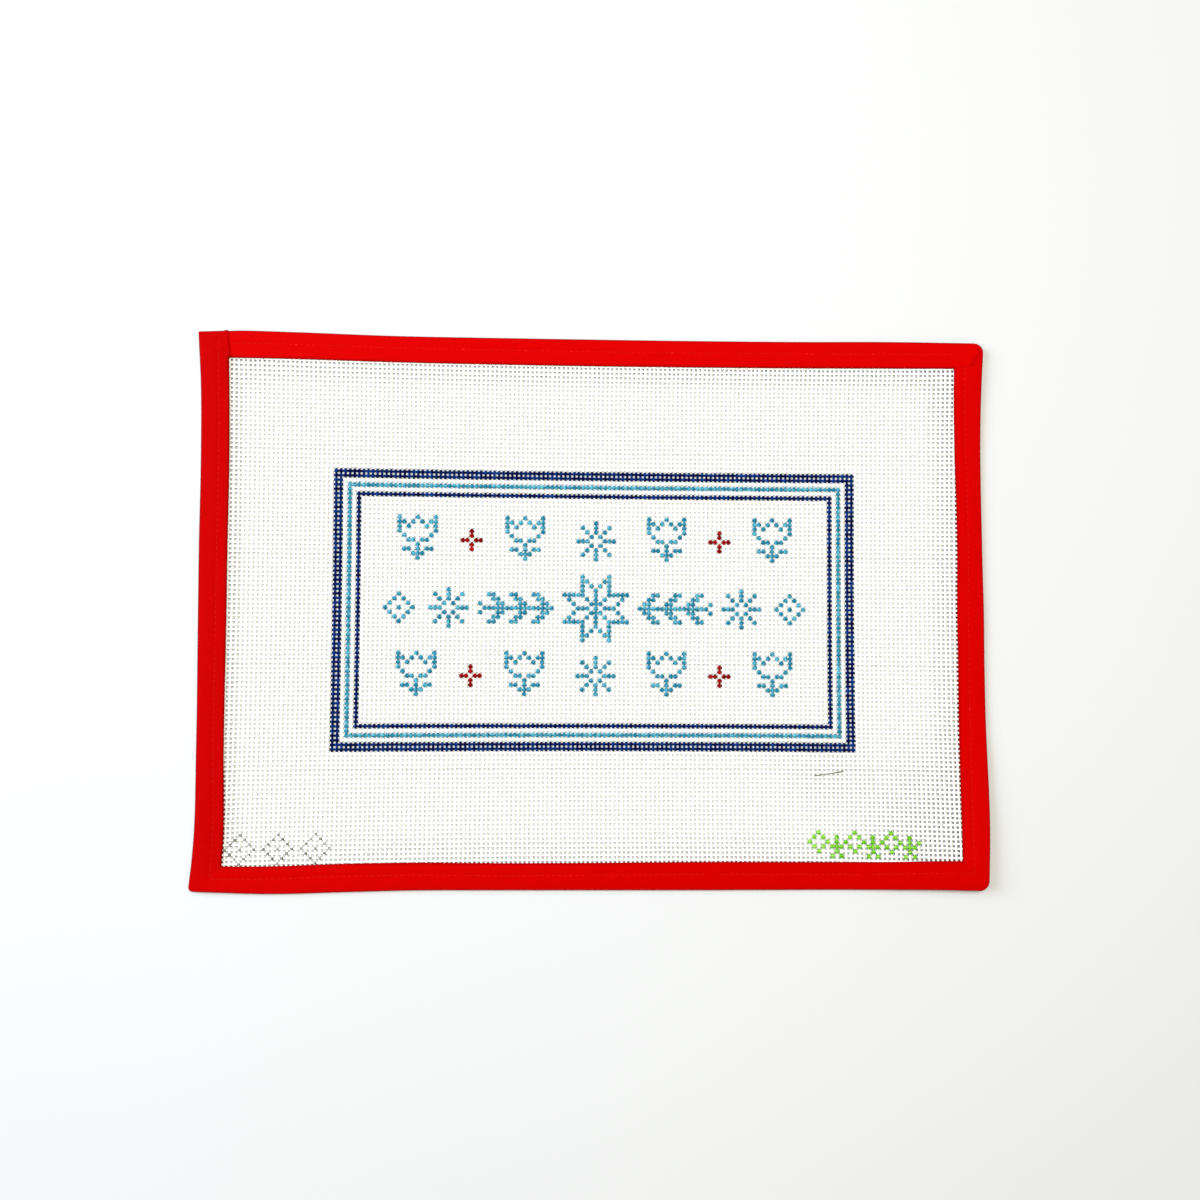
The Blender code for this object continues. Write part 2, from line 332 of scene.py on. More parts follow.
def corners_of(side):
    """Both corners of a side, each with the other side that meets it there."""
    for corner in CORNERS:
        if side.name in (corner.before, corner.after):
            yield corner, SIDES[corner.after if side.name == corner.before else corner.before]


def crossing(first, second, line):
    """Where the same line of two sides meets."""
    flat, upright = (second, first) if first.upright else (first, second)
    x = y = 0.0
    for _ in range(8):
        x = getattr(upright, line)(y)
        y = getattr(flat, line)(x)
    return np.array([x, y], float)


def rounded(start, corner, end, count):
    """Points of a quarter turn from start to end round the corner."""
    t = np.linspace(0, 1, count)[:, None]
    first = start + (corner - start) * QUARTER_PULL
    second = end + (corner - end) * QUARTER_PULL
    return (
        (1 - t) ** 3 * start
        + 3 * (1 - t) ** 2 * t * first
        + 3 * (1 - t) * t**2 * second
        + t**3 * end
    )


def smooth_step(t):
    t = np.clip(t, 0.0, 1.0)
    return t * t * (3 - 2 * t)


def lift_at(x, y):
    """Height of the panel above the surface."""
    height = np.zeros_like(x)
    for spot in LIFTS:
        away_x = (x - spot.x * MM) / (spot.reach_x * MM)
        away_y = (y - spot.y * MM) / (spot.reach_y * MM)
        height = height + spot.height * MM * smooth_step(1 - np.hypot(away_x, away_y))
    return height


def canvas_middle(x, y):
    """Height of the middle of the canvas's thickness."""
    level = np.ones_like(x)
    for side in SIDES.values():
        along, across = (y, x) if side.upright else (x, y)
        inside = side.sign * (side.inner(along) - across) - RISE_START
        level = level * (1 - smooth_step(1 - inside / RISE_RUN[side.name]))
    return (LEAF + SLACK) * (1 - level) + lift_at(x, y) + CANVAS_HEIGHT / 2


def waves(places, sines, longest, shortest, height, source=rng):
    """A smooth random line: sines of mixed length and phase, read at places."""
    total = np.zeros_like(places)
    for length in np.geomspace(longest, shortest, sines):
        total = total + np.sin(2 * math.pi * (places / length + source.random()))
    return total * height / sines


# -------- chart


def crossing_at(column, row):
    """Where a crossing of the chart lies on the panel."""
    x = CHART_MIDDLE[0] + (column - (CHART_COLUMNS - 1) / 2) * PITCH_X
    y = CHART_MIDDLE[1] - (row - (CHART_ROWS - 1) / 2) * PITCH_Y
    right, up = x - SPREAD_MIDDLE[0], y - SPREAD_MIDDLE[1]
    spread = SPREAD * (right**2 + up**2 - SPREAD_EVEN**2)
    return x + right * spread, y + up * spread


BORDER = {0: "navy", 1: "navy", 3: "light", 5: "navy"}  # ring from outside: its paint

# Cover at a painted crossing: the higher it is, the further the paint reaches along the threads.
REACH = {"navy": 1.10, "light": 1.08, "red": 1.10, "lime": 1.04, "grey": 0.66}

# Traditional sampler motifs, charted one by one. A mark is one painted crossing.
STAR = """
....#.....#....
....##...##....
....#.#.#.#....
....#..#..#....
#####..#..#####
.#...#.#.#...#.
..#...###...#..
...###.#.###...
..#...###...#..
.#...#.#.#...#.
#####..#..#####
....#..#..#....
....#.#.#.#....
....##...##....
....#.....#....
"""
FLAKE = """
....#....
.#..#..#.
..#.#.#..
...#.#...
###...###
...#.#...
..#.#.#..
.#..#..#.
....#....
"""
TULIP = """
#...#...#
##.#.#.##
#.#...#.#
#.......#
.#.....#.
..##.##..
....#....
.##.#.##.
...###...
....#....
"""
SPRIG = """
..##...##...##...
...##...##...##..
#...##...##...##.
.################
#...##...##...##.
...##...##...##..
..##...##...##...
"""
LOZENGE = """
...#...
..#.#..
.#...#.
#..#..#
.#...#.
..#.#..
...#...
"""
CROSSLET = """
..#..
..#..
##.##
..#..
..#..
"""
CHAIN = """
..#.......#.......#.......
.#.#..#..#.#..#..#.#..#...
#...#.#.#...#.#.#...#.#.#.
.#.#.###.#.#.###.#.#.###..
..#...#...#...#...#...#...
.....#.#.....#.#.....#.#..
"""

# Motifs on both sides of the star, and in rows above and below it: how many crossings from the middle
# they stand, and their paint.
MIDDLE_ROW = ((SPRIG, 18, "light"), (FLAKE, 33, "light"), (LOZENGE, 44, "light"))
OUTER_ROWS = ((FLAKE, 0, "light"), (TULIP, 16, "light"), (CROSSLET, 28, "red"), (TULIP, 40, "light"))
OUTER_ROWS_AWAY = 15
MARGIN_ROW = 82
CHAIN_COLUMN = 119
LOZENGE_COLUMNS = (-19, -11, -3)


def draw(chart, drawing, column, row, paint, mirrored=False):
    """Puts a motif's middle at a crossing of the chart."""
    lines = drawing.split()
    for down, line in enumerate(lines):
        line = line[::-1] if mirrored else line
        for across, mark in enumerate(line):
            if mark == "#":
                place = (column + across - len(line) // 2, row + down - len(lines) // 2)
                chart[place] = paint


def panel_chart():
    """Every painted crossing's paint: the border, a sampler design in it, and marks in the margin."""
    chart = {}
    for column in range(CHART_COLUMNS):
        for row in range(CHART_ROWS):
            ring = min(column, row, CHART_COLUMNS - 1 - column, CHART_ROWS - 1 - row)
            if ring in BORDER:
                chart[column, row] = BORDER[ring]
    middle = (CHART_COLUMNS - 1) // 2
    centre_row = CHART_ROWS // 2 - 1
    draw(chart, STAR, middle, centre_row, "light")
    for side in (-1, 1):
        for drawing, away, paint in MIDDLE_ROW:
            draw(chart, drawing, middle + away * side, centre_row, paint, mirrored=side > 0)
        for drawing, away, paint in OUTER_ROWS:
            for row in (centre_row - OUTER_ROWS_AWAY, centre_row + OUTER_ROWS_AWAY):
                draw(chart, drawing, middle + away * side, row, paint)
    draw(chart, CHAIN, CHAIN_COLUMN, MARGIN_ROW, "lime")
    for column in LOZENGE_COLUMNS:
        draw(chart, LOZENGE, column, MARGIN_ROW, "grey")
    return chart


# -------- meshes


def new_piece(name, vertices, faces, material):
    """A smooth mesh as a piece of the scene."""
    mesh = bpy.data.meshes.new(name)
    mesh.from_pydata(vertices.reshape(-1, 3), [], faces)
    mesh.materials.append(material)
    mesh.shade_smooth()
    piece = bpy.data.objects.new(name, mesh)
    place_piece(piece)
    return piece


def place_piece(piece):
    """Puts a piece in the scene, with the middle of the outline's box over the origin."""
    middle = outline_middle()
    piece.location = (-middle[0], -middle[1], 0.0)
    bpy.context.scene.collection.objects.link(piece)


def corner_uv(piece, name, uv):
    """Writes one place for each face corner, in the order of the mesh's loops."""
    layer = piece.data.uv_layers.new(name=name)
    layer.uv.foreach_set("vector", np.ascontiguousarray(uv, np.float32).ravel())


def inset(share, margin):
    """A share of a strip on the bake's map, which leaves a bare margin at both ends."""
    return margin + (1 - 2 * margin) * share


# -------- canvas

SECTION_TURNS = 2 * math.pi * np.arange(THREAD_SIDES) / THREAD_SIDES


class Threads(namedtuple("Threads", "first x y over upright cover colour")):
    """Parallel threads of the canvas: the first one's number, and (thread, sample) arrays."""

    def vertices(self):
        """Places of the vertices: (thread, sample, side of the section, xyz)"""
        turn = math.pi / 2 + SECTION_TURNS
        if self.upright:
            turn = math.pi - turn
        swell = np.empty(self.x.shape)
        drift = np.empty(self.x.shape)
        place = self.y if self.upright else self.x
        for k in range(len(place)):
            own = np.random.default_rng((SEED, int(self.upright), 1000 + self.first + k))
            swell[k] = 1 + waves(place[k], *SWELL, own)
            drift[k] = waves(place[k], *DRIFT, own)
        across = swell[..., None] * THREAD_WIDTH / 2 * np.cos(turn) + drift[..., None]
        up = THREAD_HEIGHT / 2 * np.sin(turn)
        middle = canvas_middle(self.x, self.y) + self.over * WEAVE_RISE
        z = middle[..., None] + up
        x = self.x[..., None] + (across if self.upright else 0)
        y = self.y[..., None] + (0 if self.upright else across)
        return np.stack(np.broadcast_arrays(x, y, z), axis=-1)

    def paint(self):
        """The paint's colour and cover at the vertices: (thread, sample, side of the section, rgba)"""
        upper = np.sin(math.pi / 2 + SECTION_TURNS) > -0.5
        rgba = np.empty((*self.x.shape, THREAD_SIDES, 4))
        rgba[..., :3] = self.colour[:, :, None, :]
        rgba[..., 3] = self.cover[:, :, None] * np.where(upper, 1.0, UNDERSIDE_PAINT)
        return rgba

    def cells(self):
        """Numbers of the quads along the threads: thread, sample and side of the section."""
        count, samples = self.x.shape
        return np.meshgrid(
            np.arange(count), np.arange(samples - 1), np.arange(THREAD_SIDES), indexing="ij"
        )

    def faces(self, start):
        """Quads along the threads and a cap at each end, as vertex numbers from start."""
        count, samples = self.x.shape
        t, s, j = self.cells()
        here = (t * samples + s) * THREAD_SIDES + start
        n = (j + 1) % THREAD_SIDES
        quads = np.stack([here + j, here + THREAD_SIDES + j, here + THREAD_SIDES + n, here + n], -1)
        first = np.arange(count)[:, None] * samples * THREAD_SIDES + np.arange(THREAD_SIDES) + start
        last = first + (samples - 1) * THREAD_SIDES
        return quads.reshape(-1, 4), np.concatenate([first, last[:, ::-1]])

    def strips(self, row, per_row, rows):
        """The bake's map: each thread is a strip, per_row of them side by side in a row of the map."""
        count, samples = self.x.shape
        t, s, j = self.cells()
        level = row + t // per_row
        u0, u1 = (
            (t % per_row + inset(step / (samples - 1), THREAD_MAP_ENDS)) / per_row for step in (s, s + 1)
        )
        v0, v1 = ((level + inset(step / THREAD_SIDES, THREAD_MAP_SIDES)) / rows for step in (j, j + 1))
        quads = np.stack(
            [np.stack(pair, -1) for pair in ((u0, v0), (u1, v0), (u1, v1), (u0, v1))], axis=-2
        )
        ends = np.arange(count)
        spot = np.stack([np.cos(SECTION_TURNS), np.sin(SECTION_TURNS)], -1) * MAP_SPOT
        caps = []
        for side in (0.0, 1.0):
            u = (ends % per_row + inset(side, THREAD_MAP_ENDS)) / per_row
            v = (row + ends // per_row + 0.5) / rows
            middle = np.stack([np.clip(u, MAP_EDGE, 1 - MAP_EDGE), v], -1)
            caps.append(middle[:, None, :] + spot[None])
        return quads.reshape(-1, 2), np.concatenate(caps).reshape(-1, 2)


def thread_range(first_side, second_side):
    """The first and last thread that fit between the canvas's edges on two opposite sides."""
    numbers, along = np.meshgrid(THREADS_TRIED, PLACES_TRIED, indexing="ij")
    place = (numbers, along) if first_side.upright else (along, numbers)
    point = np.stack(crossing_at(*place), axis=-1)
    inside = np.ones(len(numbers), bool)
    for side in (first_side, second_side):
        edge = side.cloth(side.along_of(point))
        inside &= (side.sign * (edge - side.across_of(point)) > THREAD_WIDTH / 2).all(axis=1)
    kept = numbers[inside, 0]
    return int(kept.min()), int(kept.max())


def half_steps(first, last, open_first, open_last):
    """Places along a thread in crossings: each crossing and each middle between, where it shows."""
    steps = np.arange(2 * first - 1, 2 * last + 2) / 2
    shown = (steps >= open_first) & (steps <= open_last) | (steps == np.round(steps))
    shown[[0, -1]] = True
    return steps[shown]


def paint_beside(chart, column, row):
    """The paint of a crossing beside this one, or None."""
    for across, down in ((1, 0), (-1, 0), (0, 1), (0, -1)):
        if (column + across, row + down) in chart:
            return chart[column + across, row + down]
    return None


def paint_arrays(chart, columns, rows):
    """Cover and colour at samples of threads: whole numbers are crossings, halves are between them."""
    cover = np.zeros(columns.shape)
    colour = np.zeros((*columns.shape, 3))
    for index in np.ndindex(columns.shape):
        column, row = columns[index], rows[index]
        ends = [(whole(column), whole(row)) for whole in (math.floor, math.ceil)]
        cover[index] = np.mean([REACH.get(chart.get(place), 0.0) for place in ends])
        names = [chart[place] for place in ends if place in chart]
        name = names[0] if names else paint_beside(chart, *ends[0])
        if name:
            colour[index] = PAINTS[name]
    return cover, colour


def end_trim(along, side):
    """How much shorter a thread is where the tape's corner is round."""
    trim = np.zeros_like(along)
    for corner, other in corners_of(side):
        tip = crossing(side, other, "cloth")
        away = np.abs(along - side.along_of(tip))
        radius = corner.radius * MM
        inside = np.clip(radius - away, 0, radius)
        trim = np.maximum(trim, radius - np.sqrt(radius**2 - inside**2))
    return trim


def band_threads(chart, numbers, steps, upright, edges):
    """A band's threads of one direction; edges tells at which sides their ends 0 or -1 lie."""
    number, along = np.meshgrid(np.arange(numbers[0], numbers[1] + 1), steps, indexing="ij")
    column, row = (number, along) if upright else (along, number)
    x, y = crossing_at(column, row)
    place, across = (y, x) if upright else (x, y)
    for end, name in edges.items():
        side = SIDES[name]
        place[:, end] = side.cloth(across[:, end]) - side.sign * end_trim(across[:, end], side)
    over = np.where((column + row) % 2 == 0, 1.0, -1.0) * (1 if upright else -1)
    over = np.where(along == np.round(along), over, 0.0)
    return Threads(numbers[0], x, y, over, upright, *paint_arrays(chart, column, row))


def weave_band(name, chart, columns, rows, edges, material):
    """One band of the canvas as a piece: warp over its rows, whole weft threads, and their paint."""
    sides = {0: "left", -1: "right"}
    warp = band_threads(chart, columns, half_steps(*rows, *SHOWN_ROWS), True, edges)
    weft = band_threads(chart, rows, half_steps(*columns, *SHOWN_COLUMNS), False, sides)
    warp_levels = math.ceil(len(warp.x) / WARP_STRIPS)
    levels = warp_levels + len(weft.x)
    vertices = [threads.vertices().reshape(-1, 3) for threads in (warp, weft)]
    quads, caps = zip(warp.faces(0), weft.faces(len(vertices[0])))
    strips, spots = zip(warp.strips(0, WARP_STRIPS, levels), weft.strips(warp_levels, 1, levels))
    faces = np.concatenate(quads).tolist() + np.concatenate(caps).tolist()
    piece = new_piece(name, np.concatenate(vertices), faces, material)
    corner_uv(piece, "OFBake", np.concatenate(strips + spots))
    paint = np.concatenate([threads.paint().reshape(-1, 4) for threads in (warp, weft)])
    attribute = piece.data.color_attributes.new("paint", "FLOAT_COLOR", "POINT")
    attribute.data.foreach_set("color", paint.astype(np.float32).ravel())
    return piece


def make_canvas(material):
    """The woven canvas, in bands of weft threads: (piece, flat size) pairs."""
    top, bottom, left, right = (SIDES[side] for side in ("top", "bottom", "left", "right"))
    columns = thread_range(left, right)
    first_row, last_row = thread_range(top, bottom)
    chart = panel_chart()
    cuts = np.linspace(first_row, last_row + 1, BANDS + 1).round().astype(int)
    width = right.cloth(0.0) - left.cloth(0.0)
    pieces = []
    for k in range(BANDS):
        rows = (int(cuts[k]), int(cuts[k + 1]) - 1)
        edges = {0: {0: "top"}, BANDS - 1: {-1: "bottom"}}.get(k, {})
        piece = weave_band(f"canvas_weave_{k + 1}", chart, columns, rows, edges, material)
        height = np.ptp([corner[1] for corner in piece.bound_box])
        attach(piece, "root")
        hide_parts("canvas")
        pieces.append((piece, (float(width), float(height))))
    return pieces


# -------- binding tape


def corner_block(corner):
    """Outer and inner points over the square of tape at a corner."""
    before, after = SIDES[corner.before], SIDES[corner.after]
    tip = crossing(before, after, "outer")
    window = crossing(before, after, "inner")
    starts, insides, edges = [], [], []
    for side in (before, after):
        step = -np.sign(side.along_of(tip))
        start = side.along_of(tip) + step * corner.radius * MM
        starts.append(side.points(start, side.outer(start)))
        inside = side.along_of(window) + step * INNER_RADIUS
        insides.append(side.points(inside, side.inner(inside)))
        slant = LAP_SLANT if corner.lap and side is before else 0.0
        edge = side.along_of(window) - step * slant
        edges.append(side.points(edge, side.outer(edge)))
    arc = rounded(starts[0], tip, starts[1], ARC_POINTS)
    run = np.linspace(0, 1, EDGE_POINTS, endpoint=False)[:, None]
    first, last = (edge + (end - edge) * run for edge, end in zip(edges, (arc[0], arc[-1])))
    outer = np.concatenate([first, arc, last[::-1]])
    inner = rounded(insides[0], window, insides[1], len(outer))
    if corner.lap:
        near_edge = np.hypot(*(outer - edges[0]).T)
        bump = np.exp(-((near_edge / MM) ** 2))
        outer = outer + before.points(0.0, before.sign * LAP_BUMP) * bump[:, None]
    return outer, inner


def outline_middle():
    """Middle of the outline's box, which is the part's origin."""
    outer = np.concatenate([corner_block(corner)[0] for corner in CORNERS])
    for side in SIDES.values():
        along = np.linspace(-100, 100, 81) * MM
        outer = np.concatenate([outer, side.points(along, side.outer(along))])
    return (outer.min(0) + outer.max(0)) / 2


def stations(k, outer, inner, turned, away):
    """A run of points from corner k on, with the lap, k, and the painted shade of the tape's side and
    fold.
    """
    corner = CORNERS[k]
    lap = corner.lap * MM * (1 - smooth_step(away / LAP_RUN))
    shades = (
        table[corner.before] * (1 - turned) + table[corner.after] * turned
        for table in (TAPE_SIDE_SHADE, FOLD_SHADE)
    )
    return (outer, inner, lap, np.full(len(outer), k), *shades)


def ring_stations():
    """The stations once round the panel, corner by corner, each with the side after it."""
    blocks = [corner_block(corner) for corner in CORNERS]
    runs = []
    for k, corner in enumerate(CORNERS):
        far, near = blocks[k]
        turned = np.linspace(1 if corner.lap else 0, 1, len(far))
        runs.append(stations(k, far, near, turned, np.zeros(len(far))))
        side = SIDES[corner.after]
        next_far, next_near = blocks[(k + 1) % len(CORNERS)]
        length = abs(side.along_of(next_far[0]) - side.along_of(far[-1]))
        count = 2 * round(length / STITCH_PITCH)
        ends = LAP_STEP / length
        t = ends + (1 - 2 * ends) * np.linspace(0, 1, count)
        lines = []
        for start, end, line in (
            (far[-1], next_far[0], side.outer),
            (near[-1], next_near[0], side.inner),
        ):
            along = side.along_of(start) * (1 - t) + side.along_of(end) * t
            lines.append(side.points(along, line(along)))
        runs.append(stations(k, *lines, np.ones(count), t * length))
    return [np.concatenate(part) for part in zip(*runs)]


def stitch_span(side):
    """From where to where the stitches run along a side: corner to corner, or over the lap."""
    ends = []
    for corner, other in corners_of(side):
        line = "stitch"
        if corner.lap:
            line = "outer" if side.name == corner.after else "inner"
        end = side.along_of(crossing(side, other, line))
        if line == "outer":
            end = end - np.sign(end) * STITCH_LAP_END
        ends.append(float(end))
    return min(ends), max(ends)


def stitch_groove(x, y):
    """(depth of the groove along the stitches, 0 to 1; the stitches' phase along it)"""
    point = np.stack([x, y], -1)
    depth = np.zeros_like(x)
    phase = np.zeros_like(x)
    for side in SIDES.values():
        along, across = side.along_of(point), side.across_of(point)
        low, high = stitch_span(side)
        away = np.abs(across - side.stitch(along))
        away = np.hypot(away, np.clip(np.maximum(low - along, along - high), 0, None))
        here = np.exp(-((away / GROOVE_WIDTH) ** 2))
        phase = np.where(here > depth, 2 * math.pi * (along - low) / STITCH_PITCH, phase)
        depth = np.maximum(depth, here)
    return depth, phase


def crease_relief(point):
    """Height that the folds at the corners add to the tape's upper face."""
    relief = 0.0
    for crease in CREASES:
        start = np.array([crease.x1, crease.y1]) * MM
        line = np.array([crease.x2, crease.y2]) * MM - start
        length = np.hypot(*line)
        line = line / length
        forward = (point - start) @ line
        left = (point - start) @ np.array([-line[1], line[0]])
        beyond = np.clip(np.maximum(-forward, forward - length), 0, None)
        fade = smooth_step(1 - beyond / CREASE_FADE)
        step = smooth_step(left / CREASE_STEP + 0.5) * smooth_step(1 - left / (crease.run * MM))
        relief = relief + crease.height * MM * step * fade
    return relief


def leaf_relief(x, y):
    """Height of the tape's upper face above a flat leaf: dome, groove, puckers, ripples and folds."""
    point = np.stack([x, y], -1)
    to_outline = np.full_like(x, 1.0)
    to_window = np.full_like(x, -1.0)
    for side in SIDES.values():
        along, across = side.along_of(point), side.across_of(point)
        to_outline = np.minimum(to_outline, side.sign * (side.outer(along) - across))
        to_window = np.maximum(to_window, side.sign * (across - side.inner(along)))
    share = np.clip(to_outline / np.maximum(to_outline + to_window, 1e-6), 0, 1)
    crown = np.sin(math.pi * share)
    groove, phase = stitch_groove(x, y)
    pucker = PUCKER * groove**0.3 * np.cos(phase)
    ripple = waves(x + 0.6 * y, *RIPPLES[0])
    ripple = ripple + waves(y - 0.5 * x, *RIPPLES[1])
    return (DOME + ripple) * crown - GROOVE_DEPTH * groove + pucker + crease_relief(point)


def tape_section(width):
    """The folded strip in section, once round, for the tape's width at every station.

    Each point has its distance in from the outline at every station, its height, and its shares of the
    lap's height and of the upper face's relief.
    """
    edge = LEAF / 2
    near = width - edge
    half_circle = [math.pi * (0.5 - k / 4) for k in (1, 2, 3)]
    points = []

    def add(distance, height, lap=0.0, relief=0.0):
        points.append((np.broadcast_to(distance, width.shape), height, lap, relief))

    for t in np.linspace(0, 1, UNDER_POINTS):  # underside, from the window to the fold
        add(near * (1 - t) + FOLD_RADIUS * t, 0.0)
    for k in range(1, FOLD_POINTS + 1):
        t = k / (FOLD_POINTS + 1)
        turn = math.pi * (t - 0.5)
        add(FOLD_RADIUS * (1 - math.cos(turn)), FOLD_RADIUS * (1 + math.sin(turn)), smooth_step(t))
    for t in np.linspace(0, 1, LEAF_POINTS):  # upper face, from the fold to the window
        add(FOLD_RADIUS * (1 - t) + near * t, FOLD_HEIGHT, 1.0, smooth_step(8 * t))
    for turn in half_circle:  # the edge turned under
        add(near + edge * math.cos(turn), FOLD_HEIGHT - edge + edge * math.sin(turn), 0.6, 0.3)
    add(near, FOLD_HEIGHT - LEAF)
    add(FOLD_RADIUS, FOLD_HEIGHT - LEAF)
    inside = FOLD_RADIUS - LEAF
    for turn in half_circle:  # the fold's inner face
        add(FOLD_RADIUS - inside * math.cos(turn), FOLD_RADIUS + inside * math.sin(turn))
    add(FOLD_RADIUS, LEAF)
    add(near, LEAF)
    for turn in half_circle:  # the lower leaf's edge
        add(near + edge * math.cos(turn), edge + edge * math.sin(turn))

    distances, heights, laps, reliefs = zip(*points)
    return np.array(distances).T, np.array(heights), np.array(laps), np.array(reliefs)


def run_along(points):
    """How far along a closed line each of its points is, and at the end the whole length."""
    lengths = np.hypot(*(np.roll(points, -1, 0) - points).T)
    return np.concatenate([[0.0], np.cumsum(lengths)])


def map_tape(piece, run, girth, block_of):
    """The cloth's map, in metres along and round the strip, and the bake's, a row to a corner."""
    k, j = np.meshgrid(np.arange(len(run) - 1), np.arange(len(girth) - 1), indexing="ij")
    u = np.stack([run[k], run[k], run[k + 1], run[k + 1]], -1)
    v = np.stack([girth[j], girth[j + 1], girth[j + 1], girth[j]], -1)
    corner_uv(piece, "cloth", np.stack([u, v], -1).reshape(-1, 2))
    strip_u, strip_v = np.empty_like(u), np.empty_like(v)
    for block in range(len(CORNERS)):
        mine = block_of[k] == block
        low, high = run[k][mine].min(), run[k + 1][mine].max()
        strip_u[mine] = inset((u[mine] - low) / (high - low), TAPE_MAP_ENDS)
        strip_v[mine] = (block + inset(v[mine] / girth[-1], TAPE_MAP_SIDES)) / len(CORNERS)
    corner_uv(piece, "OFBake", np.stack([strip_u, strip_v], -1).reshape(-1, 2))


def make_tape(material):
    """The binding: one folded strip lofted round the panel."""
    outer, inner, lap, block_of, painted_shade, fold = ring_stations()
    inward = inner - outer
    width = np.hypot(inward[:, 0], inward[:, 1])
    inward = inward / width[:, None]
    distance, height, lap_share, relief_share = tape_section(width)
    place = outer[:, None, :] + inward[:, None, :] * distance[..., None]
    x, y = place[..., 0], place[..., 1]
    z = height + lap[:, None] * lap_share + leaf_relief(x, y) * relief_share + lift_at(x, y)
    under = np.arange(len(height)) < UNDER_POINTS
    z = z + GROOVE_BACK_DEPTH * stitch_groove(x, y)[0] * under

    count, steps = x.shape
    k, j = np.meshgrid(np.arange(count), np.arange(steps), indexing="ij")
    n, m = (k + 1) % count, (j + 1) % steps
    quads = np.stack([k * steps + j, k * steps + m, n * steps + m, n * steps + j], -1)
    vertices = np.stack([x, y, z], -1)
    piece = new_piece("tape_binding", vertices, quads.reshape(-1, 4).tolist(), material)
    piece.data.set_sharp_from_angle(angle=math.radians(60))

    # Painted shade, kept in the attribute: each side's share of the red, darker along the fold and inner
    # edge.
    at_fold = np.clip(1 - distance / FOLD_SHADE_WIDTH, 0, 1)
    at_edge = np.clip(1 - (width[:, None] - distance) / EDGE_SHADE_WIDTH, 0, 1)
    shade = painted_shade[:, None] * (1 - fold[:, None] * at_fold) * (1 - EDGE_SHADE * at_edge)
    attribute = piece.data.attributes.new("painted_shade", "FLOAT", "POINT")
    attribute.data.foreach_set("value", shade.astype(np.float32).ravel())
    section = np.stack([distance[count // 3], height], -1)
    map_tape(piece, run_along((outer + inner) / 2), run_along(section), block_of)
    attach(piece, "root")
    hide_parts("binding_tape")
    return piece


# -------- stitches


def stitch_rings(start, end, bow):
    """Rings of a short sewn stitch that bows up between two needle holes."""
    t = np.linspace(0, 1, STITCH_RINGS)[:, None]
    axis = end - start
    across = np.array([-axis[1], axis[0], 0.0])
    across = across / np.hypot(*across[:2])
    middle = start + axis * t
    middle[:, 2] += bow * np.sin(math.pi * t[:, 0])
    size = STITCH_THREAD / 2 * (0.35 + 0.65 * np.sin(math.pi * (0.08 + 0.84 * t)))
    turn = 2 * math.pi * np.arange(STITCH_SIDES) / STITCH_SIDES
    ring = (
        middle[:, None, :]
        + across[None, None, :] * (size * np.cos(turn))[..., None]
        + np.array([0.0, 0.0, 1.0]) * (size * STITCH_FLATNESS * np.sin(turn))[..., None]
    )
    return ring.reshape(-1, 3)


def stitch_faces():
    """One stitch's quads between its rings and a cap at each end, as vertex numbers."""
    faces = []
    for s in range(STITCH_RINGS - 1):
        low, high = s * STITCH_SIDES, (s + 1) * STITCH_SIDES
        for j in range(STITCH_SIDES):
            n = (j + 1) % STITCH_SIDES
            faces.append((low + j, high + j, high + n, low + n))
    first = range(STITCH_SIDES)
    last = range((STITCH_RINGS - 1) * STITCH_SIDES, STITCH_RINGS * STITCH_SIDES)
    return faces + [tuple(first), tuple(last)[::-1]]


def lap_height(x, y):
    """Height of the lap at the top left corner."""
    window = crossing(SIDES["left"], SIDES["top"], "inner")
    over = (x < window[0] + 0.1 * MM) * (1 - smooth_step((window[1] - y) / LAP_RUN))
    return CORNERS[0].lap * MM * over


def make_stitches(material):
    """One line of machine stitches round the tape, seen on its face and on its back."""
    one = stitch_faces()
    vertices, faces = [], []
    for side in SIDES.values():
        low, high = stitch_span(side)
        for k in range(int((high - low) / STITCH_PITCH)):
            along = low + STITCH_PITCH * (k + np.array(STITCH_SPAN))
            along = along + rng.normal(0, STITCH_WOBBLE[0], 2)
            across = side.stitch(along) + rng.normal(0, STITCH_WOBBLE[1], 2)
            ends = side.points(along, across)
            lift = lift_at(*ends.T)
            face = FOLD_HEIGHT + lap_height(*ends.T) + lift - STITCH_SINK
            for height, bow in ((face, STITCH_BOW), (lift + STITCH_BACK, STITCH_BACK_BOW)):
                start = len(vertices) * STITCH_RINGS * STITCH_SIDES
                vertices.append(stitch_rings(*np.column_stack([ends, height]), bow))
                faces += [tuple(start + number for number in polygon) for polygon in one]
    piece = new_piece("tape_stitches", np.concatenate(vertices), faces, material)
    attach(piece, "root")
    return piece


# -------- staple


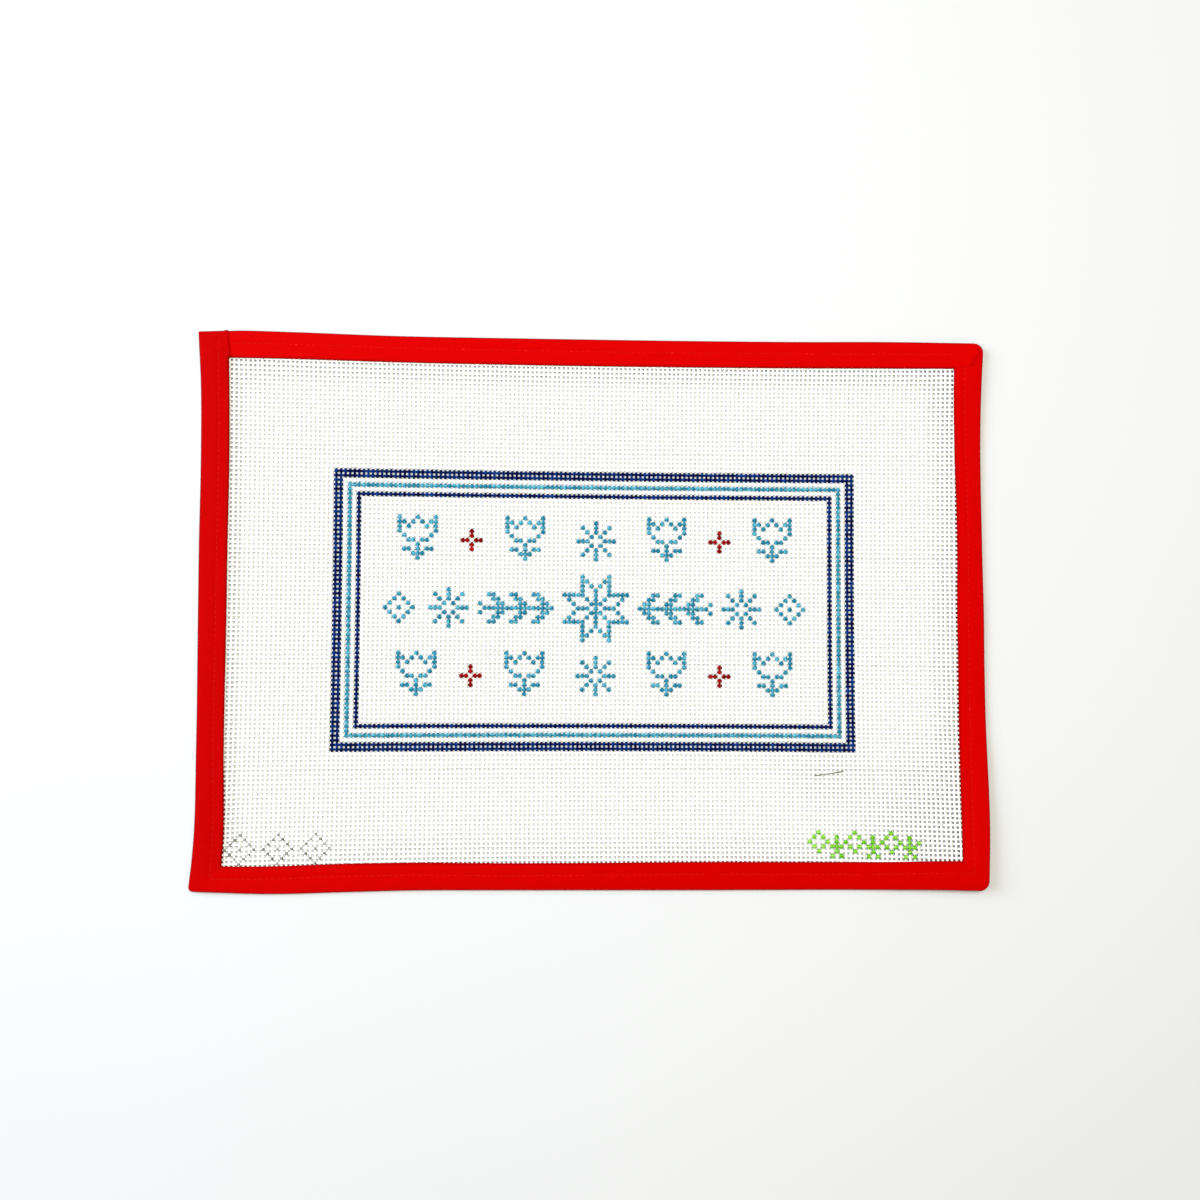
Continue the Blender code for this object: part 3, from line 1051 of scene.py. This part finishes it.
def staple_path():
    """The middle of the staple's wire, from the tip of its left leg to the tip of its right one."""
    left, right = (np.array(end) for end in STAPLE_ENDS)
    inward = (right - left) / np.hypot(*(right - left))
    above = CANVAS_HEIGHT + STAPLE_WIRE / 2
    below = -STAPLE_WIRE / 2 + 0.05 * MM
    bend = STAPLE_BEND

    def at(point, z):
        """A place at a height over the canvas's underside, kept off the surface."""
        base = lift_at(*point[:, None])[0]
        return (*point, max(base + z, STAPLE_WIRE / 2))

    def half(end, inward, crown):
        """From a leg's tip, up through the cloth and onto the crown: (distance inward, height)."""
        places = (
            (STAPLE_CLINCH, below - 0.1 * MM),
            (STAPLE_CLINCH * 0.5, below),
            (bend, below),
            (bend * 0.3, below + bend * 0.3),
            (0.0, below + bend),
            (0.0, above - bend),
            (bend * 0.3, above - bend * 0.3),
            (bend, above),
            (4 * MM, above + crown),
        )
        return [at(end + inward * distance, height) for distance, height in places]

    return half(left, inward, 0.05 * MM) + half(right, -inward, 0.02 * MM)[::-1]


def make_staple(material):
    """An office staple: a crown on the canvas, legs down through two holes, folded in below."""
    path = staple_path()
    curve = bpy.data.curves.new("staple", "CURVE")
    curve.dimensions = "3D"
    curve.bevel_depth = STAPLE_WIRE / 2
    curve.bevel_resolution = 2
    curve.use_fill_caps = True
    spline = curve.splines.new("POLY")
    spline.points.add(len(path) - 1)
    for point, place in zip(spline.points, path):
        point.co = (*place, 1.0)
    curve.materials.append(material)
    piece = bpy.data.objects.new("staple", curve)
    place_piece(piece)
    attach(piece, "root")
    return piece


# -------- materials


class Nodes:
    """A material's node tree with short ways to add nodes and links."""

    def __init__(self, name):
        self.material = bpy.data.materials.new(name)
        self.material.use_nodes = True
        self.tree = self.material.node_tree
        self.shader = self.tree.nodes["Principled BSDF"]
        self.place = self.add("TexCoord").outputs["Object"]

    def add(self, kind, **settings):
        node = self.tree.nodes.new("ShaderNode" + kind)
        for key, value in settings.items():
            setattr(node, key, value)
        return node

    def set(self, target, value):
        """Gives a socket a value, or a link from another socket."""
        if isinstance(value, bpy.types.NodeSocket):
            self.tree.links.new(value, target)
        else:
            target.default_value = value

    def fill(self, node, values):
        """Sets inputs of a node by name, and returns its outputs."""
        for name, value in values.items():
            self.set(node.inputs[name], value)
        return node.outputs

    def math(self, operation, *values):
        node = self.add("Math", operation=operation)
        for socket, value in zip(node.inputs, values):
            self.set(socket, value)
        return node.outputs[0]

    def noise(self, scale, detail, vector=None):
        values = {"Scale": scale, "Detail": detail, "Vector": vector or self.place}
        return self.fill(self.add("TexNoise"), values)["Fac"]

    def ramp(self, value, low, high, to_low=0.0, to_high=1.0):
        node = self.add("MapRange", interpolation_type="SMOOTHSTEP")
        limits = {"From Min": low, "From Max": high, "To Min": to_low, "To Max": to_high}
        return self.fill(node, {"Value": value, **limits})["Result"]

    def mix(self, share, first, second):
        node = self.add("Mix", data_type="RGBA")
        self.set(node.inputs["Factor"], share)
        colours = [socket for socket in node.inputs if socket.type == "RGBA"]
        for socket, colour in zip(colours, (first, second)):
            self.set(socket, colour)
        return [socket for socket in node.outputs if socket.type == "RGBA"][0]

    def bump(self, height, distance, strength, after=None):
        values = {"Distance": distance, "Strength": strength, "Height": height}
        if after is not None:
            values["Normal"] = after
        return self.fill(self.add("Bump"), values)["Normal"]


def rgba(colour):
    return (*colour, 1.0)


def canvas_material():
    """Sized white cotton thread that glows a little, brushed with paint by the paint attribute."""
    n = Nodes("canvas_threads")
    paint = n.add("Attribute", attribute_name="paint")
    fibre = n.noise(2600.0, 4.0)
    ragged = n.math("MULTIPLY_ADD", n.noise(1300.0, 2.0), 0.4, paint.outputs["Alpha"])
    cover = n.ramp(ragged, 0.60, 0.70)
    thread = n.mix(n.ramp(fibre, 0.3, 0.7), rgba(CREAM_THREAD), rgba(WHITE_THREAD))
    thin = n.ramp(n.noise(500.0, 3.0), 0.40, 0.68)
    washed = n.fill(n.add("Gamma"), {"Gamma": WASH, "Color": paint.outputs["Color"]})["Color"]
    coat = n.mix(thin, paint.outputs["Color"], washed)
    surface = {
        "Base Color": n.mix(cover, thread, coat),
        "Roughness": 0.85,
        "Specular IOR Level": 0.05,
        "Subsurface Weight": n.ramp(cover, 0.0, 1.0, THREAD_GLOW, 0.0),
        "Subsurface Radius": (1.0, 1.0, 1.0),
        "Subsurface Scale": 0.4 * MM,
        "Normal": n.bump(fibre, 0.06 * MM, 0.6),
    }
    n.fill(n.shader, surface)
    return n.material


def tape_material():
    """Matt red cotton, finely woven, with faint streaks along it."""
    n = Nodes("tape_cotton")
    cloth = n.add("UVMap", uv_map="cloth").outputs["UV"]
    rough = n.noise(240.0, 3.0)
    streaks = n.fill(n.add("Mapping"), {"Scale": (25.0, 900.0, 1.0), "Vector": cloth})["Vector"]
    streak = n.noise(1.0, 2.0, streaks)
    # Painted shade of each side, the fold and the inner edge.
    strip = n.add("Attribute", attribute_name="painted_shade").outputs["Fac"]
    mottle = n.math("MULTIPLY_ADD", streak, 0.06, n.math("MULTIPLY_ADD", rough, 0.06, 0.94))
    yarns = []
    for direction in ("X", "Y"):
        wave = n.add("TexWave", wave_type="BANDS", bands_direction=direction)
        values = {"Scale": 700.0, "Distortion": 0.6, "Detail": 1.0, "Vector": cloth}
        yarns.append(n.fill(wave, values)["Fac"])
    fine = n.bump(n.math("MULTIPLY", *yarns), 0.05 * MM, 0.6)
    surface = {
        "Base Color": n.mix(n.math("MULTIPLY", strip, mottle), rgba((0.0, 0.0, 0.0)), rgba(TAPE_RED)),
        "Roughness": 0.8,
        "Specular IOR Level": 0.2,
        "Specular Tint": rgba((1.0, 0.0, 0.0)),
        "Normal": n.bump(rough, 0.12 * MM, 0.5, fine),
    }
    n.fill(n.shader, surface)
    return n.material


def stitch_material():
    """Red sewing thread, a little shinier than the tape, with painted highlights: a few lighter glints.
    """
    n = Nodes("stitch_thread")
    twist = n.noise(3500.0, 1.0)
    plain = n.mix(twist, rgba(STITCH_DARK), rgba(STITCH_LIGHT))
    # Patches of painted highlight, glints on a few stitches.
    patches = n.ramp(n.noise(240.0, 1.0), 0.64, 0.74)
    surface = {
        "Base Color": n.mix(patches, plain, rgba(STITCH_GLINT)),
        "Roughness": 0.6,
        "Specular IOR Level": 0.1,
        "Normal": n.bump(twist, 0.04 * MM, 0.7),
    }
    n.fill(n.shader, surface)
    return n.material


def steel_material():
    """Zinc-coated wire."""
    n = Nodes("staple_wire")
    patches = n.noise(900.0, 3.0)
    surface = {
        "Base Color": n.mix(n.ramp(patches, 0.35, 0.7), rgba(STEEL_DARK), rgba(STEEL_LIGHT)),
        "Metallic": 1.0,
        "Roughness": n.ramp(patches, 0.3, 0.7, 0.3, 0.45),
    }
    n.fill(n.shader, surface)
    return n.material


def floor_material():
    """A matt white table top."""
    n = Nodes("white_surface")
    surface = {
        "Base Color": n.mix(n.noise(3.0, 2.0), rgba(FLOOR_DARK), rgba(FLOOR_LIGHT)),
        "Roughness": 0.95,
        "Specular IOR Level": 0.0,
    }
    n.fill(n.shader, surface)
    return n.material


# -------- stage


def make_floor():
    bpy.ops.mesh.primitive_plane_add(size=SURFACE_LENGTH, location=(0, 0, -SURFACE_GAP))
    floor = bpy.context.object
    floor.name = "floor"
    floor.data.materials.append(floor_material())


def make_light():
    """The lamps, round ones that face the panel's middle, and the room."""
    for lamp in LAMPS:
        light = bpy.data.lights.new(lamp.name, "AREA")
        light.shape = "DISK"
        light.size = lamp.size
        light.energy = lamp.power
        light.color = lamp.colour
        stand = bpy.data.objects.new(lamp.name, light)
        stand.location = lamp.place
        stand.rotation_euler = (-Vector(lamp.place)).to_track_quat("-Z", "Y").to_euler()
        bpy.context.scene.collection.objects.link(stand)
    world = bpy.data.worlds.new("room")
    world.use_nodes = True
    background = world.node_tree.nodes["Background"]
    background.inputs["Color"].default_value = rgba(ROOM_COLOUR)
    background.inputs["Strength"].default_value = ROOM_LIGHT
    bpy.context.scene.world = world
    bpy.context.scene.view_settings.view_transform = "Standard"


def make_camera():
    """Almost straight above, a little left of and below the panel's middle."""
    camera = bpy.data.cameras.new("camera")
    camera.sensor_width = CAMERA_LENS
    camera.lens = CAMERA_LENS
    eye = bpy.data.objects.new("camera", camera)
    x, y, z = CAMERA_PLACE
    middle = outline_middle()
    eye.location = (x - middle[0], y - middle[1], z)
    eye.rotation_euler = Euler([math.radians(angle) for angle in CAMERA_TILT], "XYZ")
    bpy.context.scene.collection.objects.link(eye)
    bpy.context.scene.camera = eye


# -------- the scene


def main():
    make_camera()
    make_light()
    make_floor()
    bands = make_canvas(canvas_material())
    tape = make_tape(tape_material())
    stitches = make_stitches(stitch_material())
    staple = make_staple(steel_material())


main()
